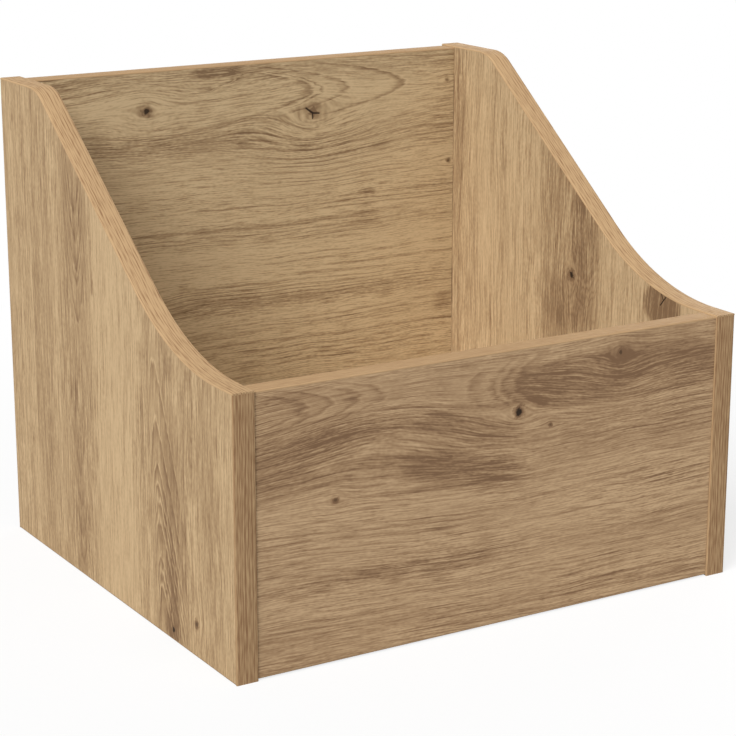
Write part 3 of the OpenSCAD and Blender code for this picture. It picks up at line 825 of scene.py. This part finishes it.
def finish(name):
    """The finish of that name, made when it is first asked for"""
    if name in bpy.data.materials:
        return bpy.data.materials[name]
    if "Grain Fibres" not in bpy.data.node_groups:
        make_groups()
    finishes = bpy.context.scene.box_finishes
    if name in PRINTS:
        return laminate(name, PRINTS[name], finishes)
    makers = {
        # These three are one and the same edge band. The curved top bands get the lightest ground, and the
        # straight and panel bands darker ones: painted light and shade for how each faces the lamps.
        "curved_band": lambda: edge_band(name, finishes, ground=0.01, strength=0.98),
        "straight_band": lambda: edge_band(name, finishes, ground=0.40, strength=0.82),
        "panel_band": lambda: edge_band(name, finishes, ground=0.27, strength=0.40),
        "chipboard": lambda: chipboard(name, finishes),
        "cast_zinc": lambda: metal(name, finishes.zinc, roughness=0.42, grain=2.2, relief=0.00006),
        "plated_steel": lambda: metal(name, finishes.steel, roughness=0.28, grain=3.0, relief=0.00002),
        "raw_beech": lambda: beech(name, finishes),
    }
    return makers[name]()


def new_object(name, data):
    """A new object in the scene"""
    made = bpy.data.objects.new(name, data)
    bpy.context.scene.collection.objects.link(made)
    return made


def add_piece(name, vertices, faces, materials, replaced=()):
    """Puts arrays into a new mesh with its faces turned outwards, and hands the piece to the frame"""
    mesh = bpy.data.meshes.new(name)
    mesh.from_pydata(vertices, [], faces)
    turn_outwards(mesh)
    piece = new_object(name, mesh)
    for material in materials:
        mesh.materials.append(finish(material))
    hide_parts(*replaced)
    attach(piece, "root")
    return piece


def turn_outwards(mesh):
    """Merges doubles and turns the faces of a closed shell outwards"""
    shell = bmesh.new()
    shell.from_mesh(mesh)
    bmesh.ops.remove_doubles(shell, verts=shell.verts, dist=1e-7)
    bmesh.ops.recalc_face_normals(shell, faces=shell.faces)
    shell.to_mesh(mesh)
    shell.free()


def s_curve():
    """Side view of a side board's top edge, from its rear end to its front end.
    Gives the points (y, z) and the outward normals there. The edge is level, then a round shoulder,
    a straight slope, a hollow bend and a level end. The slope touches both rounds, so its length is
    sqrt(run^2 + drop^2 - 2 (shoulder + hollow) drop) and half its angle has the tangent
    drop / (run + length)."""
    sizes = bpy.context.scene.box_sizes
    rear, nose = CAD_HIGH.y, CAD_LOW.y
    shoulder = np.array([rear - sizes.top_flat, CAD_HIGH.z - sizes.shoulder_radius])
    hollow = np.array([nose + sizes.front_flat, FRONT_H + sizes.hollow_radius])
    run = shoulder[0] - hollow[0]
    drop = CAD_HIGH.z - FRONT_H
    length = math.sqrt(run**2 + drop**2 - 2 * (sizes.shoulder_radius + sizes.hollow_radius) * drop)
    slope = 2 * math.atan(drop / (run + length))
    steps = max(2, round(slope / BEND_STEP))
    turn = np.linspace(0.0, slope, steps + 1)
    lean = np.stack([-np.sin(turn), np.cos(turn)], axis=1)
    down = shoulder + sizes.shoulder_radius * lean
    out = hollow - sizes.hollow_radius * lean[::-1]
    ends = np.array([[rear, CAD_HIGH.z], [nose, FRONT_H]])
    points = np.concatenate([ends[:1], down, out, ends[1:]])
    normals = np.concatenate([lean[:1], lean, lean[::-1], lean[:1]])
    return points, normals


def extrude(outline, plane, low, high):
    """A closed outline in a plane of two axes, carried along the third axis from low to high.
    Gives the vertices and the faces: one quad for each side of the outline, and two flat ends."""
    count = len(outline)
    run_axis = ({0, 1, 2} - set(plane)).pop()
    vertices = np.empty((2, count, 3))
    vertices[:, :, plane[0]] = outline[:, 0]
    vertices[:, :, plane[1]] = outline[:, 1]
    vertices[:, :, run_axis] = np.array([[low], [high]])
    here = np.arange(count)
    there = np.roll(here, -1)
    walls = np.stack([here, there, there + count, here + count], axis=1)
    return vertices.reshape(-1, 3), walls.tolist() + [here.tolist(), (here + count).tolist()]


def rounded_rectangle(low, high, radius):
    """Outline of a rectangle with quarter circles at its corners"""
    turn = np.linspace(0.0, math.pi / 2, CORNER_STEPS + 1)
    arc = radius * np.stack([np.cos(turn), np.sin(turn)], axis=1)
    middle = (low + high) / 2
    half = (high - low) / 2 - radius
    corners = []
    for quarter in range(4):
        spin = np.array(Matrix.Rotation(quarter * math.pi / 2, 2))
        corner = np.sign(spin @ np.array([1.0, 1.0])) * half
        corners.append(middle + corner + arc @ spin.T)
    return np.concatenate(corners)


def ring_quads(rows, columns):
    """Quads between the rows of a grid of vertices whose last column joins its first"""
    row, column = np.meshgrid(np.arange(rows - 1), np.arange(columns), indexing="ij")
    after = (column + 1) % columns
    here = row * columns
    there = here + columns
    return np.stack([here + column, here + after, there + after, there + column], axis=-1).reshape(-1, 4)


def revolve(profile, centre, axis, sides):
    """A closed solid of revolution. profile lists (distance along the axis, radius) from one end on
    the axis to the other, and each row of vertices is one profile point turned round the axis."""
    turn = np.linspace(0.0, 2 * math.pi, sides, endpoint=False)
    profile = np.asarray(profile)
    basis = np.array(Vector(axis).to_track_quat("Z", "Y").to_matrix())
    ring = np.stack([np.cos(turn), np.sin(turn), np.zeros(sides)], axis=1)
    rows = profile[:, 1, None, None] * ring + profile[:, 0, None, None] * np.array([0.0, 0.0, 1.0])
    vertices = rows.reshape(-1, 3) @ basis.T + np.asarray(centre)
    return vertices, ring_quads(len(profile), sides)


def solids_of(node):
    """Lowest and highest corners of each separate solid in a CAD node. Every corner of a triangle takes
    the lowest label on it, until each solid has one label."""
    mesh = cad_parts[node].data
    mesh.calc_loop_triangles()
    places = np.empty(len(mesh.vertices) * 3)
    corners = np.empty(len(mesh.loop_triangles) * 3, dtype=np.int32)
    mesh.vertices.foreach_get("co", places)
    mesh.loop_triangles.foreach_get("vertices", corners)
    places, merged = np.unique(places.reshape(-1, 3).round(6), axis=0, return_inverse=True)
    triangles = merged.ravel()[corners].reshape(-1, 3)
    label = np.arange(len(places))
    settled = False
    while not settled:
        before = label.copy()
        np.minimum.at(label, triangles, label[triangles].min(axis=1, keepdims=True))
        settled = np.array_equal(before, label)
    solids = [places[label == one] for one in np.unique(label[triangles])]
    return [(solid.min(axis=0), solid.max(axis=0)) for solid in solids]


def bore(low, high, axis, grow, extra_low, extra_high):
    """A cylinder round a box of a fitting along one axis: wider by grow and longer at both ends"""
    others = [a for a in range(3) if a != axis]
    radius = max(high[others] - low[others]) / 2 + grow
    centre = (low + high) / 2
    start = low[axis] - extra_low
    end = high[axis] + extra_high
    centre[axis] = 0.0
    direction = np.eye(3)[axis]
    profile = [(start, 0.0), (start, radius), (end, radius), (end, 0.0)]
    return revolve(profile, centre, direction, BORE_SIDES)


def cut_bores(piece, cutters):
    """Cuts the bores out of a board, and leaves the result in its mesh"""
    tools = []
    for vertices, faces in cutters:
        mesh = bpy.data.meshes.new("cutter")
        mesh.from_pydata(vertices, [], faces.tolist())
        turn_outwards(mesh)
        tool = new_object("cutter", mesh)
        change = piece.modifiers.new("bore", "BOOLEAN")
        change.object = tool
        change.solver = "EXACT"
        tools.append(tool)
    shape = bpy.data.meshes.new_from_object(piece.evaluated_get(bpy.context.evaluated_depsgraph_get()))
    piece.modifiers.clear()
    old = piece.data
    name = old.name
    piece.data = shape
    bpy.data.meshes.remove(old)
    shape.name = name
    for tool in tools:
        bpy.data.meshes.remove(tool.data)


def dress_faces(piece, axis, low, high):
    """Gives the faces at the low and the high plane of an axis the first and the second material,
    and the sawn rest the third"""
    mesh = piece.data
    count = len(mesh.polygons)
    normals = np.empty(count * 3)
    centres = np.empty(count * 3)
    mesh.polygons.foreach_get("normal", normals)
    mesh.polygons.foreach_get("center", centres)
    facing = normals.reshape(-1, 3)[:, axis]
    place = centres.reshape(-1, 3)[:, axis]
    near = 0.0003
    index = np.full(count, 2)
    index[(facing < -0.1) & (place < low + near)] = 0
    index[(facing > 0.1) & (place > high - near)] = 1
    mesh.polygons.foreach_set("material_index", index.astype(np.int32))
    mesh.update()


def fittings_beside(low, high, nodes):
    """Boxes of the fittings in these nodes that touch the space between two corners"""
    return [
        box for node in nodes for box in solids_of(node)
        if np.all(box[0] < high) and np.all(box[1] > low)]


def joint_bores(low, high):
    """Cutters for every bolt and dowel that enters the board between two corners"""
    sizes = bpy.context.scene.box_sizes
    cutters = []
    for box_low, box_high in fittings_beside(low, high, ("left_cam_bolts", "right_cam_bolts")):
        ends = [sizes.hole_extra if side * (box_low + box_high)[0] > 0 else 0.0 for side in (-1, 1)]
        cutters.append(bore(box_low, box_high, 0, sizes.fit_gap, ends[0], ends[1]))
    dowels = ("left_side_dowels", "right_side_dowels", "bottom_to_front_dowels", "bottom_to_back_dowels")
    for box_low, box_high in fittings_beside(low, high, dowels):
        axis = int(np.argmax(box_high - box_low))
        cutters.append(bore(box_low, box_high, axis, sizes.fit_gap, sizes.hole_extra, sizes.hole_extra))
    return cutters


def cam_bores(node, axis, opens_high):
    """Cutters for the cam locks of one panel, through the face that they show on"""
    sizes = bpy.context.scene.box_sizes
    through = 0.001
    cutters = []
    for box_low, box_high in solids_of(node):
        ends = (sizes.fit_gap, through) if opens_high else (through, sizes.fit_gap)
        cutters.append(bore(box_low, box_high, axis, sizes.fit_gap, *ends))
    return cutters


def side_board(side):
    """A side board: the S-curved outline, drawn in by the bands, carried through the board's thickness"""
    sizes = bpy.context.scene.box_sizes
    node = f"{side}_side_board"
    low, high = (np.array(corner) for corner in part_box(node))
    points, normals = s_curve()
    top = points - BAND_T * normals
    top[0, 0] -= BAND_T
    top[-1, 0] += BAND_T
    foot = np.array([[low[1], low[2]], [high[1], low[2]]])
    vertices, faces = extrude(np.concatenate([top, foot]), (1, 2), low[0], high[0])
    prints = [f"{side}_outer_print", f"{side}_inner_print"]
    if side == "right":
        prints.reverse()
    board = add_piece(f"{side}_board", vertices, faces, [*prints, "chipboard"], [node])
    cut_bores(board, joint_bores(low, high))
    dress_faces(board, 0, low[0], high[0])
    return board


def panel_board(node, name, thin, run, prints, cams, opens_high):
    """A panel: a rectangle with softened ends, carried along the run axis. thin is the axis of its
    thickness. Cam locks show on one of its faces."""
    sizes = bpy.context.scene.box_sizes
    low, high = (np.array(corner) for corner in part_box(node))
    plane = tuple(axis for axis in range(3) if axis != run)
    outline = rounded_rectangle(low[list(plane)], high[list(plane)], sizes.arris_radius)
    vertices, faces = extrude(outline, plane, low[run], high[run])
    panel = add_piece(name, vertices, faces, [*prints, "chipboard"], [node])
    cut_bores(panel, joint_bores(low, high) + cam_bores(cams, thin, opens_high))
    dress_faces(panel, thin, low[thin], high[thin])
    return panel


def band_section(radius):
    """Cross-section of a band as (across, depth below the visible side), from one foot round the
    visible side to the other foot, with quarter circles at its two outer corners"""
    turn = np.linspace(0.0, math.pi / 2, CORNER_STEPS + 1)
    corner = np.stack([radius - radius * np.cos(turn), radius - radius * np.sin(turn)], axis=1)
    other = corner[::-1] * [-1.0, 1.0] + [BOARD_T, 0.0]
    return np.concatenate([[[0.0, BAND_T]], corner, other, [[BOARD_T, BAND_T]]])


def rim_length():
    """Length of a band's cross-section from foot to foot, which its UV runs over"""
    section = band_section(bpy.context.scene.box_sizes.band_radius)
    return np.linalg.norm(np.diff(section, axis=0), axis=1).sum()


def sweep_band(name, path, normals, binormal, start, material, replaced):
    """A band: the cross-section carried along a path. Row i of the grid is path[i] minus depth times
    the normal there, plus the distance across times the binormal. UV is metres along and across."""
    section = band_section(bpy.context.scene.box_sizes.band_radius)
    across = section[:, 0][None, :, None] * np.asarray(binormal)
    depth = section[:, 1][None, :, None] * normals[:, None, :]
    grid = np.asarray(start) + path[:, None, :] + across - depth
    rows, columns = grid.shape[:2]
    ends = [list(range(columns)), list(range((rows - 1) * columns, rows * columns))]
    faces = ring_quads(rows, columns).tolist() + ends
    band = add_piece(name, grid.reshape(-1, 3), faces, [material], [replaced])
    mesh = band.data
    steps = np.linalg.norm(np.diff(path, axis=0), axis=1)
    length = np.concatenate([[0.0], np.cumsum(steps)])
    rim = np.concatenate([[0.0], np.cumsum(np.linalg.norm(np.diff(section, axis=0), axis=1))])
    lengths = np.repeat(length, columns)
    rims = np.tile(rim, rows)
    corners = np.empty(len(mesh.loops), dtype=np.int32)
    mesh.loops.foreach_get("vertex_index", corners)
    sheet = mesh.uv_layers.new(name="UVMap")
    places = np.stack([lengths[corners], rims[corners]], axis=1)
    sheet.data.foreach_set("uv", places.ravel().astype(np.float32))
    mesh.shade_smooth()
    mesh.set_sharp_from_angle(angle=math.radians(40))
    return band


def curved_band(side):
    """The band along the S-curved top edge of a side board"""
    points, normals = s_curve()
    points3 = np.column_stack([np.zeros(len(points)), points])
    normals3 = np.column_stack([np.zeros(len(points)), normals])
    low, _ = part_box(f"{side}_top_edge_band")
    return sweep_band(
        f"{side}_top_band", points3, normals3, (1.0, 0.0, 0.0), (low.x, 0.0, 0.0), "curved_band",
        f"{side}_top_edge_band")


def straight_band(node, name, run, facing, material):
    """A straight band over its CAD node's box, along the run axis, with its visible side to facing"""
    low, high = (np.array(corner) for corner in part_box(node))
    normal = np.asarray(facing, dtype=float)
    face_axis = int(np.argmax(np.abs(normal)))
    across_axis = ({0, 1, 2} - {run, face_axis}).pop()
    start = low.copy()
    start[face_axis] = high[face_axis] if normal[face_axis] > 0 else low[face_axis]
    path = np.zeros((2, 3))
    path[1, run] = high[run] - low[run]
    normals = np.tile(normal, (2, 1))
    return sweep_band(name, path, normals, np.eye(3)[across_axis], start, material, node)


def dress_node(node, material):
    """Gives a CAD node a finish"""
    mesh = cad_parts[node].data
    if mesh.materials:
        mesh.materials[0] = finish(material)
    else:
        mesh.materials.append(finish(material))


class RECORDBOX_OT_side_boards(bpy.types.Operator):
    """Adds the two side boards with their S-curved top edges"""
    bl_idname = "recordbox.side_boards"
    bl_label = "Side boards"

    def execute(self, context):
        for side in SIDES:
            side_board(side)
        return {"FINISHED"}


class RECORDBOX_OT_panels(bpy.types.Operator):
    """Adds the front, back and bottom panels"""
    bl_idname = "recordbox.panels"
    bl_label = "Panels"

    def execute(self, context):
        panel_board(
            "front_panel", "front_board", 1, 2, ["front_outer_print", "front_inner_print"],
            "front_panel_cam_locks", True)
        panel_board(
            "back_panel", "back_board", 1, 2, ["back_inner_print", "back_rear_print"],
            "back_panel_cam_locks", True)
        panel_board(
            "bottom_panel", "bottom_board", 2, 1, ["bottom_print", "bottom_print"],
            "bottom_panel_cam_locks", False)
        return {"FINISHED"}


class RECORDBOX_OT_edge_bands(bpy.types.Operator):
    """Adds the edge bands of the side boards, the front panel and the back panel"""
    bl_idname = "recordbox.edge_bands"
    bl_label = "Edge bands"

    def execute(self, context):
        for side in SIDES:
            curved_band(side)
            straight_band(f"{side}_front_edge_band", f"{side}_front_band", 2, (0, -1, 0), "straight_band")
            straight_band(f"{side}_rear_edge_band", f"{side}_rear_band", 2, (0, 1, 0), "straight_band")
            straight_band(f"{side}_bottom_edge_band", f"{side}_foot_band", 1, (0, 0, -1), "straight_band")
        for panel in ("front", "back"):
            straight_band(f"{panel}_panel_top_band", f"{panel}_top_band", 0, (0, 0, 1), "panel_band")
            straight_band(f"{panel}_panel_bottom_band", f"{panel}_foot_band", 0, (0, 0, -1), "panel_band")
        return {"FINISHED"}


class RECORDBOX_OT_fittings(bpy.types.Operator):
    """Finishes the cam locks, bolts and dowels"""
    bl_idname = "recordbox.fittings"
    bl_label = "Fittings"

    def execute(self, context):
        for panel in ("front", "back", "bottom"):
            dress_node(f"{panel}_panel_cam_locks", "cast_zinc")
        for side in SIDES:
            dress_node(f"{side}_cam_bolts", "plated_steel")
            dress_node(f"{side}_side_dowels", "raw_beech")
        for panel in ("front", "back"):
            dress_node(f"bottom_to_{panel}_dowels", "raw_beech")
        return {"FINISHED"}


def add_lamp(name, kind, offset, energy, **settings):
    """A lamp at an offset from the middle of the box, which it faces"""
    light = bpy.data.lights.new(name, kind)
    light.energy = energy
    for setting, value in settings.items():
        setattr(light, setting, value)
    lamp = new_object(name, light)
    lamp.location = (CAD_LOW + CAD_HIGH) / 2 + Vector(offset)
    lamp.rotation_euler = (-Vector(offset)).to_track_quat("-Z", "Y").to_euler()


def floor_finish(studio):
    """A pale floor that the camera sees as white, apart from the box's soft shadow"""
    material = bpy.data.materials.new("floor")
    material.use_nodes = True
    tree = material.node_tree
    tree.nodes.remove(tree.nodes["Principled BSDF"])
    net = Net(tree)
    plain = net.node("ShaderNodeBsdfDiffuse", {"Color": studio.floor})
    bright = net.node("ShaderNodeBsdfDiffuse", {"Color": studio.floor_seen})
    glow = net.node("ShaderNodeEmission", {"Color": (1.0, 1.0, 1.0), "Strength": 1.0})
    seen = net.node("ShaderNodeMixShader", {1: bright.outputs[0], 2: glow.outputs[0]})
    clear = net.node("ShaderNodeBsdfTransparent")
    place = net.node("ShaderNodeTexCoord").outputs["Object"]
    distance = net.node("ShaderNodeVectorMath", {0: place}, operation="LENGTH").outputs["Value"]
    net.plug(net.fade(distance, *SHADOW_REACH, studio.floor_glow, 1.0), seen.inputs[0])
    light_path = net.node("ShaderNodeLightPath")
    top = net.node(
        "ShaderNodeMixShader",
        {0: light_path.outputs["Is Camera Ray"], 1: plain.outputs[0], 2: seen.outputs[0]})
    below = net.node("ShaderNodeNewGeometry").outputs["Backfacing"]
    both = net.node("ShaderNodeMixShader", {0: below, 1: top.outputs[0], 2: clear.outputs[0]})
    net.plug(both.outputs[0], tree.nodes["Material Output"].inputs["Surface"])
    return material


def light_world(studio):
    """An even sky that lights softly, and is white where it is seen or mirrored"""
    world = bpy.data.worlds.new("studio")
    world.use_nodes = True
    tree = world.node_tree
    net = Net(tree)
    soft = tree.nodes["Background"]
    soft.inputs["Color"].default_value = (1.0, 1.0, 1.0, 1.0)
    soft.inputs["Strength"].default_value = studio.sky
    white = net.node("ShaderNodeBackground", {"Color": (1.0, 1.0, 1.0), "Strength": 1.0})
    light_path = net.node("ShaderNodeLightPath")
    seen = Field(net, light_path.outputs["Is Camera Ray"])
    seen = net.math("MAXIMUM", seen, light_path.outputs["Is Glossy Ray"])
    seen = net.math("MAXIMUM", seen, light_path.outputs["Is Transmission Ray"])
    mixed = net.node("ShaderNodeMixShader", {0: seen, 1: soft.outputs[0], 2: white.outputs[0]})
    net.plug(mixed.outputs[0], tree.nodes["World Output"].inputs["Surface"])
    bpy.context.scene.world = world


class RECORDBOX_OT_stage(bpy.types.Operator):
    """Adds the floor, the soft studio light and the camera"""
    bl_idname = "recordbox.stage"
    bl_label = "Stage"

    def execute(self, context):
        studio = context.scene.box_studio
        scene = context.scene
        mesh = bpy.data.meshes.new("floor")
        corners = np.array([[-1, -1, 0], [1, -1, 0], [1, 1, 0], [-1, 1, 0]]) * FLOOR_REACH
        mesh.from_pydata(corners, [], [[0, 1, 2, 3]])
        mesh.materials.append(floor_finish(studio))
        floor = new_object("floor", mesh)
        light_world(studio)
        add_lamp("key", "SUN", studio.key_from, studio.key_strength, angle=studio.key_spread)
        add_lamp("front", "AREA", studio.front_from, studio.front_power, size=studio.front_size)
        add_lamp("fill", "AREA", studio.fill_from, studio.fill_power, size=studio.fill_size)
        data = bpy.data.cameras.new("camera")
        data.lens = studio.camera_lens
        data.sensor_width = 36.0
        camera = new_object("camera", data)
        camera.location = studio.camera_place
        camera.rotation_euler = (math.pi / 2 - studio.camera_dip, 0.0, -studio.camera_turn)
        scene.camera = camera
        scene.view_settings.view_transform = "Standard"
        return {"FINISHED"}


class RECORDBOX_PT_panel(bpy.types.Panel):
    """Lists the steps that dress the box"""
    bl_idname = "RECORDBOX_PT_panel"
    bl_label = "Record storage box"
    bl_space_type = "VIEW_3D"
    bl_region_type = "UI"
    bl_category = "Record Box"

    def draw(self, context):
        for group in ("box_sizes", "box_finishes", "box_studio"):
            settings = getattr(context.scene, group)
            box = self.layout.box()
            for name in settings.bl_rna.properties.keys():
                if name not in ("rna_type", "name"):
                    box.prop(settings, name)
        for operator in STEPS:
            self.layout.operator(operator.bl_idname)


STEPS = (
    RECORDBOX_OT_stage, RECORDBOX_OT_side_boards, RECORDBOX_OT_panels, RECORDBOX_OT_edge_bands,
    RECORDBOX_OT_fittings)
SETTINGS = {"box_sizes": BoxSizes, "box_finishes": Finishes, "box_studio": Studio}
CLASSES = (*SETTINGS.values(), *STEPS, RECORDBOX_PT_panel)


def register():
    for item in CLASSES:
        bpy.utils.register_class(item)
    for name, group in SETTINGS.items():
        setattr(bpy.types.Scene, name, PointerProperty(type=group))


def unregister():
    for name in SETTINGS:
        delattr(bpy.types.Scene, name)
    for item in reversed(CLASSES):
        bpy.utils.unregister_class(item)


def main():
    """Registers the add-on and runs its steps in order"""
    register()
    for operator in STEPS:
        category, name = operator.bl_idname.split(".")
        getattr(getattr(bpy.ops, category), name)()


if __name__ == "__main__":
    main()
